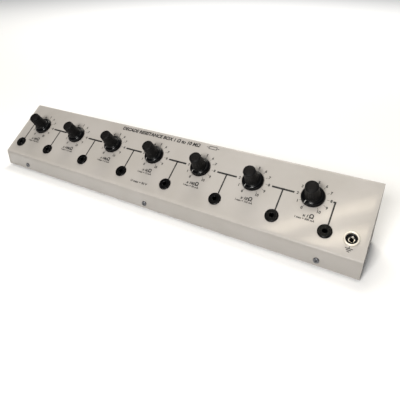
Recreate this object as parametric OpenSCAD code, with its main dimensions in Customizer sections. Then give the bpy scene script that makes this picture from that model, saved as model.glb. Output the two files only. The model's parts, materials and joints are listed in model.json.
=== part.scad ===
// Seven-decade resistance box: a wedge-shaped desk console of folded, painted
// steel, with seven rotary decade switches, eight 4 mm sockets and an earth
// socket. X runs along the box, Y to the back, Z up. The origin is in the
// middle of the footprint, on the surface that the feet stand on.

/* [Case] */
// Length over the end plates
case_len = 434; // [430:1:480]
// Width of the sloping panel, from its front edge to its back edge
panel_w = 77.2; // [74:0.2:80]
// Slope of the panel
tilt = 35; // [34:0.5:36]
// Height of the front lip
lip_h = 18.0; // [16:0.2:20]
// Thickness of the steel sheet
sheet = 1.5; // [1.2:0.1:1.6]
// Outside radius of the folds
fold_r = 2.4; // [2:0.1:3]
// Height of the rubber feet
foot_h = 2.5; // [1.5:0.5:6]
// Radius of the rubber feet
foot_r = 6; // [5:0.5:8]

/* [Decades] */
// Number of decades
decades = 7; // [7:1:7]
// Distance between neighbouring knobs
pitch = 58; // [56:0.5:60]
// Offset of the row of knobs from the middle of the box
row_shift = -11; // [-11:0.5:-10]
// Distance of the knob row from the front edge, up the slope
knob_row = 44.8; // [44:0.2:45]

/* [Sockets] */
// Distance of the socket row from the front edge, up the slope
socket_row = 16.4; // [16:0.2:18]
// Distance of the two end sockets from the middle of the row of knobs
socket_end = 192.6; // [190:0.2:194]
// Distance of the earth socket from the middle of the box
earth_x = 203.6; // [203:0.2:205]
// Radius of a socket flange
flange_r = 6.4; // [6:0.1:7]
// Radius of the hole that takes a 4 mm plug
plug_r = 2.02; // [2.01:0.01:2.05]

/* [Knobs] */
// Height of a knob
knob_h = 20.5; // [20:0.5:22]
// Radius of the knob's skirt
skirt_r = 10.8; // [10.2:0.1:11]
// Radius of the knob's top
knob_top_r = 6; // [5.8:0.1:6.2]
// Gap between the skirt and the panel
knob_gap = 0.4; // [0.3:0.1:1]

/* [Switches] */
// Radius of the switch shaft
shaft_r = 3; // [3:0.5:3]
// Radial clearance of the shaft in its bushing
run_fit = 0.05; // [0.03:0.01:0.08]
// Outside radius of the threaded bushing
bushing_r = 4.5; // [4.5:0.1:4.7]
// Radius of the switch housing
housing_r = 13; // [12.5:0.1:13]

/* [Hidden] */
$fn = 64;

// Case outline, seen from the end: Y to the back, Z up
depth = panel_w * cos(tilt);
front_y = -depth / 2;
front_top = foot_h + lip_h;
back_top = front_top + panel_w * sin(tilt);
cover_path = [[front_y, foot_h], [front_y, front_top], [-front_y, back_top], [-front_y, foot_h]];
bend_steps = 8;

// Places along the box
function knob_x(k) = row_shift + (k - (decades + 1) / 2) * pitch;
function socket_x(k) =
    k == 1 ? row_shift - socket_end :
    k == decades + 1 ? row_shift + socket_end :
    row_shift + (k - 1 - decades / 2) * pitch;
live_sockets = [for (k = [1:decades + 1]) socket_x(k)];
all_sockets = concat(live_sockets, [earth_x]);

// Cover screws: M3, in the lip and low on the back wall
screw_xs = [-181, 0, 181];
screw_z = foot_h + 5.8;
screw_r = 1.5;
screw_hole_r = 1.7;
screw_head_r = 2.7;
screw_head_h = 1.5;
screw_len = 7;
cross_w = 0.8;
cross_len = 3;

// Base tray and end plates
tray_flange = 12;
tray_gap = 0.2;
end_tab = [10, 22];
end_tab_lift = 2;
panel_hole_gap = 0.1;
foot_inset = [34, 17];

// Panel fittings, as depths behind the panel's face
socket_barrel_r = 4.9;
socket_flange_h = 1.6;
mouth_round = 0.5;
sleeve_r = 2.9;
sleeve_top = 8;
earth_sleeve_top = 1.6;
sleeve_end = 22;
lug = [2.4, 0.8];
lug_y = 2.45;
lug_end = 26;
lug_lap = 0.5;
barrel_end = 14;
nut_h = 2.5;
socket_nut_h = 3;
hex_r = 6.9;
socket_hex_r = 7.4;
earth_r = 6.4;
earth_h = 2.6;
earth_insert_r = 4.4;
earth_insert_h = 1.04;

// Switch, as depths behind the panel's face
housing_wall = 1.5;
housing_front = 2;
housing_end = 14.5;
bushing_top = 5.6;
bushing_flange_r = 6;
bushing_flange_t = 1.5;
wafer_t = 1.6;
pin_r = 0.5;
pin_ring_r = 9;
pin_top = 13.9;
tail_pivot_r = 2;
shoulder_gap = 0.3;
shaft_top = 0.85 * knob_h;
rotor_r = 9.5;
rotor_top = 6;
rotor_t = 3.5;
notches = 12;
notch_r = 1.6;
notch_ring_r = rotor_r + 0.6;
hub_r = 5;
arm_w = 3;
arm_len = pin_ring_r + 0.8;
arm_t = 1.2;
arm_top = 12;
step_angle = 30;
positions = 11;
steps = positions - 1;

// Resistor board, behind the switch
board_top = 17.2;
board_t = 1.6;
board_w = 40;
board_y = [-23.5, 12];
board_hole_r = 3;
resistor_r = 1.25;
resistor_len = 6.5;
lead_r = 0.3;
lead_span = 10;
resistor_y = -15.8;
resistor_step = 3.8;
resistor_depth = 1.6;
wire_r = 0.4;
wire_gap = 0.6;
wire_inset = [1.1, 1.7];
wire_drop = 1.6;

// Colours
paint_grey = "#c3bcb2";
black_plastic = "#141415";
brass = "#c9a650";
nickel = "#c9c7c2";
board_green = "#2f5d3a";

// ---- Helpers ----

function unit(v) = v / norm(v);
function right_of(u) = [u.y, -u.x];
function turned(u, a) = [u.x * cos(a) + u.y * sin(a), u.y * cos(a) - u.x * sin(a)];
// Points of the bend at corner i of a path, at a depth of t inside its outer face
function bend_points(path, i, t, r) =
    let (
        u = unit(path[i] - path[i - 1]),
        v = unit(path[i + 1] - path[i]),
        a = acos(u * v),
        c = path[i] - u * r * tan(a / 2) + right_of(u) * r
    )
    [for (s = [0:bend_steps]) c - right_of(turned(u, a * s / bend_steps)) * (r - t)];
// A path with its corners rounded, at a depth of t inside its outer face
function rounded_path(path, t, r) =
    let (
        last = len(path) - 1,
        first_in = right_of(unit(path[1] - path[0])) * t,
        last_in = right_of(unit(path[last] - path[last - 1])) * t
    )
    concat(
        [path[0] + first_in],
        [for (i = [1:last - 1]) each bend_points(path, i, t, r)],
        [path[last] + last_in]
    );
function reversed(points) = [for (i = [len(points) - 1:-1:0]) points[i]];
// Outline of a sheet folded along a path whose inside is on its right
function folded(path, t, r) = concat(rounded_path(path, 0, r), reversed(rounded_path(path, t, r)));

// Extrudes a Y-Z outline along X, centred on the box
module along_x(length, shift = 0) {
    translate([shift - length / 2, 0, 0])
        rotate([90, 0, 90])
            linear_extrude(length)
                children();
}

// Puts children on the panel: x along it, y up its slope, z out of its face
module on_panel(x, y) {
    translate([x, front_y, front_top])
        rotate([tilt, 0, 0])
            translate([0, y, 0])
                children();
}

module at_knob(k) {
    on_panel(knob_x(k), knob_row) children();
}

// A cylinder between two heights
module column(r, z0, z1) {
    translate([0, 0, z0]) cylinder(r = r, h = z1 - z0);
}

module hex(r, z0, z1) {
    translate([0, 0, z0]) cylinder(r = r, h = z1 - z0, $fn = 6);
}

// A round bar from a to b
module bar(a, b, r) {
    d = b - a;
    translate(a)
        rotate([0, acos(d.z / norm(d)), atan2(d.y, d.x)])
            cylinder(r = r, h = norm(d), $fn = 24);
}

// A bar with a ball at each elbow, a little fatter than the wire, through several points
module bent_wire(points, r) {
    for (i = [1:len(points) - 1]) bar(points[i - 1], points[i], r);
    for (i = [1:len(points) - 2]) translate(points[i]) sphere(r = 1.25 * r, $fn = 24);
}

// ---- Case ----

module cover_screw_holes() {
    for (x = screw_xs)
        translate([x, 0, screw_z])
            rotate([90, 0, 0])
                cylinder(r = screw_hole_r, h = 2 * depth, center = true, $fn = 32);
}

module cover() {
    color(paint_grey)
        difference() {
            along_x(case_len) polygon(folded(cover_path, sheet, fold_r));
            cover_screw_holes();
            for (k = [1:decades]) at_knob(k) column(bushing_r + panel_hole_gap, -3 * sheet, sheet);
            for (x = all_sockets)
                on_panel(x, socket_row) column(socket_barrel_r + panel_hole_gap, -3 * sheet, sheet);
        }
}

module end_plate(side) {
    inner = rounded_path(cover_path, sheet, fold_r);
    color(paint_grey) {
        along_x(sheet, side * (case_len - sheet) / 2) polygon(inner);
        translate([
            side * (case_len / 2 - sheet - end_tab.x / 2),
            -front_y - 1.5 * sheet,
            foot_h + tray_flange + end_tab.y / 2 + end_tab_lift
        ])
            cube([end_tab.x, sheet, end_tab.y], center = true);
    }
}

module base_plate() {
    y = -front_y - sheet;
    z = foot_h + sheet + tray_flange;
    tray = [[y, z], [y, foot_h], [-y, foot_h], [-y, z]];
    color("#9a9a98")
        difference() {
            along_x(case_len - 2 * sheet - 2 * tray_gap) polygon(folded(tray, sheet, fold_r));
            for (x = screw_xs)
                translate([x, 0, screw_z])
                    rotate([90, 0, 0])
                        cylinder(r = screw_r, h = 2 * depth, center = true, $fn = 32);
        }
}

module feet() {
    color("#1c1c1c")
        for (sx = [-1, 1], sy = [-1, 1])
            translate([sx * (case_len / 2 - foot_inset.x), sy * (depth / 2 - foot_inset.y), 0])
                rotate_extrude()
                    polygon([
                        [0, 0], [foot_r - 1, 0], [foot_r - 0.3, 0.5],
                        [foot_r, foot_h], [0, foot_h]
                    ]);
}

// One pan-head screw, its head's underside at z = 0 and its shank along -z
module pan_screw() {
    difference() {
        union() {
            column(screw_r, -screw_len, 0);
            rotate_extrude()
                polygon([
                    [0, 0], [screw_head_r, 0], [screw_head_r, 0.6 * screw_head_h],
                    [0.8 * screw_head_r, 0.9 * screw_head_h],
                    [0.45 * screw_head_r, screw_head_h], [0, screw_head_h]
                ]);
        }
        for (a = [0, 90])
            rotate([0, 0, a])
                translate([0, 0, screw_head_h])
                    cube([cross_len, cross_w, screw_head_h], center = true);
    }
}

module cover_screws() {
    color("#55565a")
        for (side = [-1, 1], x = screw_xs)
            translate([x, side * depth / 2, screw_z])
                rotate([-90 * side, 0, 0])
                    pan_screw($fn = 32);
}

// ---- Sockets ----

// The insulator of a 4 mm socket: a flange and a barrel. A contact sleeve fills its
// wider bore up to the height seat; above that, the plug's own bore goes on.
module insulator(flange, height, seat) {
    difference() {
        union() {
            rotate_extrude()
                polygon([
                    [0, 0], [flange, 0], [flange, 0.45 * height],
                    [flange - 0.25 * height, 0.8 * height],
                    [flange - 0.75 * height, height], [0, height]
                ]);
            column(socket_barrel_r, -barrel_end, 0);
        }
        column(plug_r, -barrel_end - 1, height + 1);
        column(sleeve_r, -barrel_end - 1, seat);
        translate([0, 0, height - mouth_round])
            cylinder(r1 = plug_r, r2 = plug_r + 2 * mouth_round, h = 2 * mouth_round);
    }
}

module socket(k) {
    color(black_plastic)
        on_panel(socket_x(k), socket_row)
            insulator(flange_r, socket_flange_h, -sleeve_top);
}

module earth_insert() {
    color(black_plastic)
        on_panel(earth_x, socket_row)
            insulator(earth_insert_r, earth_insert_h, earth_insert_h + 1);
}

module earth_collar() {
    color(nickel)
        on_panel(earth_x, socket_row)
            rotate_extrude()
                polygon([
                    [earth_insert_r, 0], [earth_r, 0], [earth_r, 0.6 * earth_h],
                    [earth_r - 0.6, 0.9 * earth_h], [earth_r - 1.2, earth_h],
                    [earth_insert_r + 0.6, earth_h], [earth_insert_r, 0.85 * earth_h]
                ]);
}

// Each sleeve is a tube with a solder lug on its lower end
module contact_sleeves() {
    color(nickel)
        for (x = all_sockets)
            on_panel(x, socket_row) {
                difference() {
                    column(sleeve_r, -sleeve_end, x == earth_x ? -earth_sleeve_top : -sleeve_top);
                    column(plug_r, -sleeve_end - 1, 0);
                }
                translate([-lug.x / 2, lug_y - lug.y / 2, -lug_end])
                    cube([lug.x, lug.y, lug_end - sleeve_end + lug_lap]);
            }
}

module socket_nuts() {
    color(nickel)
        for (x = all_sockets)
            on_panel(x, socket_row)
                difference() {
                    hex(socket_hex_r, -sheet - socket_nut_h, -sheet);
                    column(socket_barrel_r, -3 * socket_nut_h, 0);
                }
}

// ---- Switches ----

module switch_bushings() {
    color(brass)
        for (k = [1:decades])
            at_knob(k)
                difference() {
                    union() {
                        column(bushing_r, -sheet - housing_front, bushing_top);
                        column(bushing_flange_r, -sheet - housing_front - bushing_flange_t, -sheet - housing_front);
                    }
                    column(shaft_r + run_fit, -rotor_top, bushing_top + 1);
                }
}

module switch_nuts() {
    color(nickel)
        for (k = [1:decades])
            at_knob(k)
                difference() {
                    hex(hex_r, 0, nut_h);
                    column(bushing_r, -1, nut_h + 1);
                }
}

module switch_housings() {
    color("#26282b")
        for (k = [1:decades])
            at_knob(k)
                difference() {
                    column(housing_r, -housing_end, -sheet);
                    column(housing_r - housing_wall, -housing_end - 1, -sheet - housing_front);
                    column(bushing_r, -housing_end, 0);
                }
}

module switch_wafers() {
    wafer_end = housing_end + wafer_t;
    color("#b98f4e")
        for (k = [1:decades])
            at_knob(k) {
                difference() {
                    column(housing_r, -wafer_end, -housing_end);
                    column(tail_pivot_r + run_fit, -wafer_end - 1, 0);
                }
                for (i = [0:positions - 1])
                    rotate([0, 0, contact_angle(i)])
                        translate([pin_ring_r, 0, 0]) {
                            column(pin_r, -housing_end, -pin_top, $fn = 16);
                            column(pin_r, -board_top, -wafer_end, $fn = 16);
                        }
            }
}

// Position i of a decade, counted clockwise from the lower left
function contact_angle(i) = 240 - i * step_angle;

module shaft(k) {
    shoulder = -housing_end + shoulder_gap;
    color(nickel)
        at_knob(k) {
            column(shaft_r, shoulder, shaft_top);
            column(tail_pivot_r, -board_top, shoulder);
        }
}

module rotor(k) {
    color("#d8d2c0")
        at_knob(k)
            difference() {
                union() {
                    difference() {
                        column(rotor_r, -rotor_top - rotor_t, -rotor_top);
                        for (i = [0:notches - 1])
                            rotate([0, 0, (i + 0.5) * step_angle])
                                translate([notch_ring_r, 0, 0])
                                    column(notch_r, -2 * rotor_top, 0, $fn = 24);
                    }
                    column(hub_r, -arm_top, -rotor_top - rotor_t);
                    rotate([0, 0, contact_angle(0)])
                        translate([0, -arm_w / 2, -arm_top - arm_t])
                            cube([arm_len, arm_w, arm_t]);
                    column(hub_r, -arm_top - arm_t, -arm_top);
                }
                column(shaft_r, -housing_end, 0);
            }
}

// ---- Knobs ----

// Outside of the knob as [radius, height]: the skirt's edge and dome, a concave
// flare, then the tapered grip up to its rounded top edge
skirt_edge = 1.3;
dome_r = 7.6;
dome_h = 4.8;
grip_r = 6.6;
grip_foot = 7.5;
knob_round = 0.9;
flare_start = [dome_r + (skirt_r - dome_r) * cos(75), skirt_edge + (dome_h - skirt_edge) * sin(75)];
knob_outline = concat(
    [[skirt_r - 0.3, knob_gap], [skirt_r, knob_gap + 0.4]],
    [for (a = [0:15:75])
        [dome_r + (skirt_r - dome_r) * cos(a), skirt_edge + (dome_h - skirt_edge) * sin(a)]],
    [for (a = [18:18:90])
        [flare_start.x - (flare_start.x - grip_r) * sin(a), grip_foot - (grip_foot - flare_start.y) * cos(a)]],
    [for (a = [0:45:90])
        [knob_top_r - knob_round * (1 - cos(a)), knob_h - knob_round * (1 - sin(a))]]
);
skirt_wall = 1.8;
bushing_room = 0.6;
cap_r = knob_top_r - 1.1;
cap_t = 1.6;
collet_r = 4.2;
collet_base = 0.33 * knob_h;

module knob(k) {
    color(black_plastic)
        at_knob(k)
            difference() {
                rotate_extrude()
                    polygon(concat([[0, knob_gap]], knob_outline, [[0, knob_h]]));
                column(skirt_r - skirt_wall, -1, nut_h + 1);
                column(bushing_r + bushing_room, -1, collet_base);
                column(collet_r, 0, knob_h - cap_t);
                column(cap_r, knob_h - cap_t, knob_h + 1);
            }
}

module knob_cap(k) {
    color("#1b1b1c")
        at_knob(k)
            rotate_extrude()
                polygon([
                    [0, knob_h - cap_t], [cap_r, knob_h - cap_t], [cap_r, knob_h - 0.2],
                    [cap_r - 0.4, knob_h], [0.6 * cap_r, knob_h - 0.15], [0, knob_h - 0.3]
                ]);
}

module collet(k) {
    color(brass)
        at_knob(k)
            difference() {
                column(collet_r, collet_base, knob_h - cap_t);
                column(shaft_r, 0, shaft_top);
            }
}

// ---- Circuit ----

module resistor_boards() {
    color(board_green)
        for (k = [1:decades])
            at_knob(k)
                difference() {
                    translate([-board_w / 2, board_y[0], -board_top - board_t])
                        cube([board_w, board_y[1] - board_y[0], board_t]);
                    column(board_hole_r, -2 * board_top, 0, $fn = 32);
                }
}

module resistors() {
    z = -board_top - board_t - resistor_depth;
    half = lead_span / 2;
    color("#6fa8b8")
        for (k = [1:decades], i = [0:steps - 1])
            at_knob(k)
                translate([(i - (steps - 1) / 2) * resistor_step, resistor_y, z]) {
                    bar([0, -resistor_len / 2, 0], [0, resistor_len / 2, 0], resistor_r);
                    bent_wire([
                        [0, -half, resistor_depth], [0, -half, 0],
                        [0, half, 0], [0, half, resistor_depth]
                    ], lead_r);
                }
}

// Two wires from each decade's board to the sockets beside it, and the earth wire
module link_wires() {
    low = -lug_end - wire_drop;
    board_back = -board_top - board_t;
    row = knob_row + board_y[0] + wire_inset.y;
    edge = board_w / 2 - wire_inset.x;
    lug_row = socket_row + lug_y;
    color("#b03a2e")
        on_panel(0, 0) {
            for (k = [1:decades], side = [-1, 1]) {
                from_x = socket_x(side < 0 ? k : k + 1) - side * wire_gap;
                bent_wire([
                    [from_x, lug_row, -lug_end],
                    [from_x, lug_row, low],
                    [knob_x(k) + side * edge, row, board_back - wire_drop],
                    [knob_x(k) + side * edge, row, board_back]
                ], wire_r);
            }
            bent_wire([
                [earth_x, lug_row, -lug_end],
                [earth_x, lug_row, low],
                [case_len / 2 - sheet, lug_row, low]
            ], wire_r);
        }
}

knob(1);  // knob_1
knob(2);  // knob_2
knob(3);  // knob_3
knob(4);  // knob_4
knob(5);  // knob_5
knob(6);  // knob_6
knob(7);  // knob_7
knob_cap(1);  // knob_cap_1
knob_cap(2);  // knob_cap_2
knob_cap(3);  // knob_cap_3
knob_cap(4);  // knob_cap_4
knob_cap(5);  // knob_cap_5
knob_cap(6);  // knob_cap_6
knob_cap(7);  // knob_cap_7
collet(1);  // collet_1
collet(2);  // collet_2
collet(3);  // collet_3
collet(4);  // collet_4
collet(5);  // collet_5
collet(6);  // collet_6
collet(7);  // collet_7
shaft(1);  // shaft_1
shaft(2);  // shaft_2
shaft(3);  // shaft_3
shaft(4);  // shaft_4
shaft(5);  // shaft_5
shaft(6);  // shaft_6
shaft(7);  // shaft_7
rotor(1);  // rotor_1
rotor(2);  // rotor_2
rotor(3);  // rotor_3
rotor(4);  // rotor_4
rotor(5);  // rotor_5
rotor(6);  // rotor_6
rotor(7);  // rotor_7
socket(1);  // socket_1
socket(2);  // socket_2
socket(3);  // socket_3
socket(4);  // socket_4
socket(5);  // socket_5
socket(6);  // socket_6
socket(7);  // socket_7
socket(8);  // socket_8
cover();
end_plate(-1);  // left_end_plate
end_plate(1);  // right_end_plate
base_plate();
contact_sleeves();
earth_collar();
earth_insert();
socket_nuts();
switch_bushings();
switch_nuts();
switch_housings();
switch_wafers();
resistor_boards();
resistors();
link_wires();
feet();
cover_screws();
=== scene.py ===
# %% [markdown]
# # A seven-decade resistance box
# The real object is a wedge-shaped bench console: one painted steel sheet folded over two
# end plates, seven rotary switches under black knobs, a row of plug sockets and a printed
# circuit diagram. The CAD model gives every place and size. This notebook gives the looks:
# it rebuilds the pieces that show with proper folds, rounds and flutes, prints the legends,
# and gives each piece the finish of its real material.

# %% Load the CAD frame
import json
import math

import bmesh
import bpy
from mathutils import Matrix, Vector

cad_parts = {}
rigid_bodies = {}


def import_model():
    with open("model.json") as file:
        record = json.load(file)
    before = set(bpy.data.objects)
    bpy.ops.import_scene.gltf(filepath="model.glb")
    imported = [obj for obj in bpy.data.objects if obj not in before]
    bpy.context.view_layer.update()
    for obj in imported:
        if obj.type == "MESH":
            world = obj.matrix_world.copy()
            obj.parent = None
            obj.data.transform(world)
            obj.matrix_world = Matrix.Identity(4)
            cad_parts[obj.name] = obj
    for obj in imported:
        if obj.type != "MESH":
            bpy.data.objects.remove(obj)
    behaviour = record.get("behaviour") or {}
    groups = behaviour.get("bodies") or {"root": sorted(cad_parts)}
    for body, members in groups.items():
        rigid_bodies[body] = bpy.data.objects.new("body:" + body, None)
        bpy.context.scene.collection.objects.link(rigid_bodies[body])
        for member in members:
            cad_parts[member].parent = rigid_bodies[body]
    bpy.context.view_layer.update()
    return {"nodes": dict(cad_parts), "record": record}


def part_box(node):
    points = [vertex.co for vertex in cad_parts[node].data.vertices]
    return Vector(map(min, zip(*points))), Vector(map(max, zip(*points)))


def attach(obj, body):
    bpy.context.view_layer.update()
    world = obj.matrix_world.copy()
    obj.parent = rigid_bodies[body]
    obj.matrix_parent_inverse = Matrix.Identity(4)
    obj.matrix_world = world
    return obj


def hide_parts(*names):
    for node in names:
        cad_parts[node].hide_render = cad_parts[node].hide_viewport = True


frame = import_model()
scene = bpy.context.scene
record = frame["record"]
MM = 0.001

# %% [markdown]
# ## Where things are
# Everything on the sloping panel is easiest to place in the panel's own directions: along
# the box, up the slope, and out of the face. The switch joints give the outward direction
# and the knob centres, the plug mounts give the sockets, and the cover's box gives the
# front edge. One matrix then turns panel places in millimetres into the frame's metres.

# %% The panel's own frame
joints = record["behaviour"]["joints"]
out_of_panel = Vector(joints[0]["axis"]).normalized()
along = Vector((1, 0, 0))
up_slope = out_of_panel.cross(along)
cover_low, cover_high = (Vector(corner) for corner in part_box("cover"))
first_seat = Vector(joints[0]["pos_m"])
front_edge = first_seat - up_slope * ((first_seat.y - cover_low.y) / up_slope.y)
front_edge.x = 0
PANEL = Matrix((along * MM, up_slope * MM, out_of_panel * MM)).transposed().to_4x4()
PANEL.translation = front_edge


def in_panel(point):
    """A place in the frame, as millimetres along the panel, up it and out of it."""
    return PANEL.inverted() @ Vector(point)


def at_panel(x, y, z=0.0):
    """A matrix that puts a shape made in millimetres on the panel at x, y, z."""
    return PANEL @ Matrix.Translation((x, y, z))


knob_seats = {joint["child"]: in_panel(joint["pos_m"]) for joint in joints}
bodies = list(knob_seats)
case = joints[0]["parent"]
plugs = {m["name"]: in_panel(m["pos_m"]) for m in record["mounts"] if m["kind"] == "bore"}
earth_x = plugs.pop("plug_earth").x
socket_xs = sorted(place.x for place in plugs.values())
socket_row = list(plugs.values())[0].y
knob_row = knob_seats[bodies[0]].y
panel_width = (cover_high.y - front_edge.y) / up_slope.y / MM
case_length = (cover_high.x - cover_low.x) / MM
tilt = math.atan2(up_slope.z, up_slope.y)
print(f"panel {case_length:.0f} x {panel_width:.1f} mm at {math.degrees(tilt):.0f} degrees")

# %% [markdown]
# ## The camera
# The box is seen from its front right and a little above, by a level camera that stands
# close, which gives the strong taper towards the left end. The finished object is placed by
# the frame, so the camera can be set before anything is modelled.

# %% Camera
VIEW_AZIMUTH = math.radians(29.9)
VIEW_ELEVATION = math.radians(27.6)
VIEW_DISTANCE = 0.427
VIEW_TARGET = Vector((0.0369, 0.0215, 0.0314))
LENS_MM = 35.4
SENSOR_MM = 36
FRAME_SHIFT = -0.071
NEAREST_SEEN = 0.01


def new_object(name, data):
    """An object of some data, linked to the scene."""
    item = bpy.data.objects.new(name, data)
    scene.collection.objects.link(item)
    return item


camera = new_object("camera", bpy.data.cameras.new("camera"))
camera.data.lens = LENS_MM
camera.data.sensor_width = SENSOR_MM
camera.data.shift_y = FRAME_SHIFT
camera.data.clip_start = NEAREST_SEEN
forward = Vector((
    -math.sin(VIEW_AZIMUTH) * math.cos(VIEW_ELEVATION),
    math.cos(VIEW_AZIMUTH) * math.cos(VIEW_ELEVATION),
    -math.sin(VIEW_ELEVATION),
))
camera.location = VIEW_TARGET - forward * VIEW_DISTANCE
camera.rotation_euler = forward.to_track_quat("-Z", "Y").to_euler()
scene.camera = camera
print("camera at", [round(c, 3) for c in camera.location])

# %% [markdown]
# ## Colours, nodes and materials
# Colours are written as sRGB hex, the way a paint card gives them, and turned to linear
# light once. One helper adds any shader node with its settings and links, so each
# material below reads as a short recipe.

# %% Shader helpers


def linear(hex_colour):
    """sRGB hex to linear RGBA."""
    channels = [int(hex_colour[i:i + 2], 16) / 255 for i in (1, 3, 5)]
    bent = [c / 12.92 if c <= 0.04045 else ((c + 0.055) / 1.055) ** 2.4 for c in channels]
    return (*bent, 1.0)


def fill(tree, node, inputs):
    """Sets or links inputs, by name with _ for a space, or by number, such as _0."""
    for name, value in inputs.items():
        key = int(name[1:]) if name[0] == "_" else name.replace("_", " ")
        if isinstance(value, bpy.types.NodeSocket):
            tree.links.new(value, node.inputs[key])
        else:
            node.inputs[key].default_value = value


def add(tree, kind, settings=None, **inputs):
    """Adds a node. Settings are its properties; inputs are values or sockets to link."""
    node = tree.nodes.new(kind)
    for name, value in (settings or {}).items():
        setattr(node, name, value)
    fill(tree, node, inputs)
    return node


def new_material(name, **fixed):
    """A Principled material with its even numbers set on the shader itself."""
    material = bpy.data.materials.new(name)
    material.use_nodes = True
    shader = material.node_tree.nodes["Principled BSDF"]
    fill(material.node_tree, shader, fixed)
    return material, material.node_tree, shader


def pattern(tree, size_mm, detail, between=(0, 1), gives=(0, 1), stretch=(1, 1, 1)):
    """A pattern on the piece's own coordinates, with grains about size_mm across. What lies
    between two values of the noise is spread over what the pattern gives, and clamped."""
    place = add(tree, "ShaderNodeTexCoord").outputs["Object"]
    mapped = add(tree, "ShaderNodeMapping", Vector=place, Scale=stretch)
    grains = add(tree, "ShaderNodeTexNoise", Vector=mapped.outputs["Vector"],
                 Scale=1 / (size_mm * MM), Detail=detail)
    return add(tree, "ShaderNodeMapRange", Value=grains.outputs["Fac"],
               From_Min=between[0], From_Max=between[1],
               To_Min=gives[0], To_Max=gives[1]).outputs["Result"]


# %% [markdown]
# ## Painted steel
# The case is sprayed with a warm light grey enamel and stoved. Such paint has a semi-gloss
# skin with a slight orange peel, a millimetre or so from crest to crest, a faint cloudiness
# from handling, and it wears a little paler and duller where hands and benches rub the
# folds. The distance from each fold line, worked out from the panel's geometry, places
# that wear on the edges and nowhere else.

# %% Semi-gloss enamel
CLOUD_MM = 34
SMEAR_MM = 9
SCUFF_MM = 2.2
PEEL_MM, PEEL_DEPTH_MM = 1.3, 0.05
SCUFF_REACH_MM, RUB_REACH_MM = 1.6, 4.0
GLAZE, GLAZE_WHERE_RUBBED = 0.8, 0.05
DULLER_WHERE_RUBBED = 0.3
# the front fold, the rounded top of the back fold, and the lower rim of the lip
fold_lines = [
    (cover_low.y, front_edge.z),
    (cover_high.y, cover_high.z),
    (cover_low.y, cover_low.z),
]


def edge_wear(tree, reach_mm):
    """1 on the folds and the ends of the case, falling to 0 at reach_mm from them."""
    place = add(tree, "ShaderNodeTexCoord").outputs["Object"]
    split = add(tree, "ShaderNodeSeparateXYZ", Vector=place).outputs
    flat = add(tree, "ShaderNodeCombineXYZ", Y=split["Y"], Z=split["Z"])
    gaps = [add(tree, "ShaderNodeVectorMath", {"operation": "DISTANCE"},
                _0=flat.outputs[0], _1=(0, y, z)).outputs["Value"] for y, z in fold_lines]
    from_middle = add(tree, "ShaderNodeMath", {"operation": "ABSOLUTE"}, _0=split["X"])
    gaps.append(add(tree, "ShaderNodeMath", {"operation": "SUBTRACT"},
                    _0=cover_high.x, _1=from_middle.outputs[0]).outputs[0])
    nearest = gaps[0]
    for gap in gaps[1:]:
        nearest = add(tree, "ShaderNodeMath", {"operation": "MINIMUM"},
                      _0=nearest, _1=gap).outputs[0]
    return add(tree, "ShaderNodeMapRange", Value=nearest, From_Max=reach_mm * MM,
               To_Min=1, To_Max=0).outputs["Result"]


def painted_steel(name, base, cloud, worn):
    """Stoved enamel: an even coat, clouded by handling and rubbed on the folds."""
    material, tree, shader = new_material(name, IOR=1.5, Coat_Roughness=0.09)
    clouds = pattern(tree, CLOUD_MM, 3, (0.35, 0.65))
    coat = add(tree, "ShaderNodeMix", {"data_type": "RGBA"},
               _0=clouds, _6=linear(base), _7=linear(cloud))
    scuffs = add(tree, "ShaderNodeMath", {"operation": "MULTIPLY"},
                 _0=edge_wear(tree, SCUFF_REACH_MM),
                 _1=pattern(tree, SCUFF_MM, 4, (0.4, 0.6), (0.1, 0.5)))
    colour = add(tree, "ShaderNodeMix", {"data_type": "RGBA"},
                 _0=scuffs.outputs[0], _6=coat.outputs[2], _7=linear(worn))
    rubbed = edge_wear(tree, RUB_REACH_MM)
    duller = add(tree, "ShaderNodeMapRange", Value=rubbed, From_Max=0.5,
                 To_Max=DULLER_WHERE_RUBBED)
    gloss = add(tree, "ShaderNodeMath", {"operation": "ADD"}, _0=duller.outputs["Result"],
                _1=pattern(tree, SMEAR_MM, 5, (0.3, 0.7), (0.29, 0.33)))
    glaze = add(tree, "ShaderNodeMapRange", Value=rubbed, From_Max=0.5, To_Min=GLAZE,
                To_Max=GLAZE_WHERE_RUBBED)
    peel = add(tree, "ShaderNodeBump", Height=pattern(tree, PEEL_MM, 2), Strength=0.12,
               Distance=PEEL_DEPTH_MM * MM)
    fill(tree, shader, {
        "Base_Color": colour.outputs[2], "Roughness": gloss.outputs[0],
        "Coat_Weight": glaze.outputs["Result"], "Normal": peel.outputs["Normal"],
    })
    return material


grey_enamel = painted_steel("semi-gloss grey enamel on steel", "#aca7a1", "#a6a19a", "#b8b3ac")
print("made", grey_enamel.name)

# %% [markdown]
# ## Finishes in two tones
# Most of the other finishes differ only in their numbers: two colours that a fine pattern
# mixes, a roughness, and a grain that stands out by a real depth. So one function holds
# the recipe, and a short one for each trade fills it in.

# %% The shared recipe


def two_tone(name, colours, tone, roughness, grain, strength, depth_mm, **fixed):
    """A finish whose tone and grain are pattern arguments, as its roughness may be too."""
    material, tree, shader = new_material(name, **fixed)
    colour = add(tree, "ShaderNodeMix", {"data_type": "RGBA"}, _0=pattern(tree, *tone),
                 _6=linear(colours[0]), _7=linear(colours[1]))
    relief = add(tree, "ShaderNodeBump", Height=pattern(tree, *grain), Strength=strength,
                 Distance=depth_mm * MM)
    if isinstance(roughness, tuple):
        roughness = pattern(tree, *roughness)
    fill(tree, shader, {
        "Base_Color": colour.outputs[2], "Roughness": roughness,
        "Normal": relief.outputs["Normal"],
    })
    return material


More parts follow.
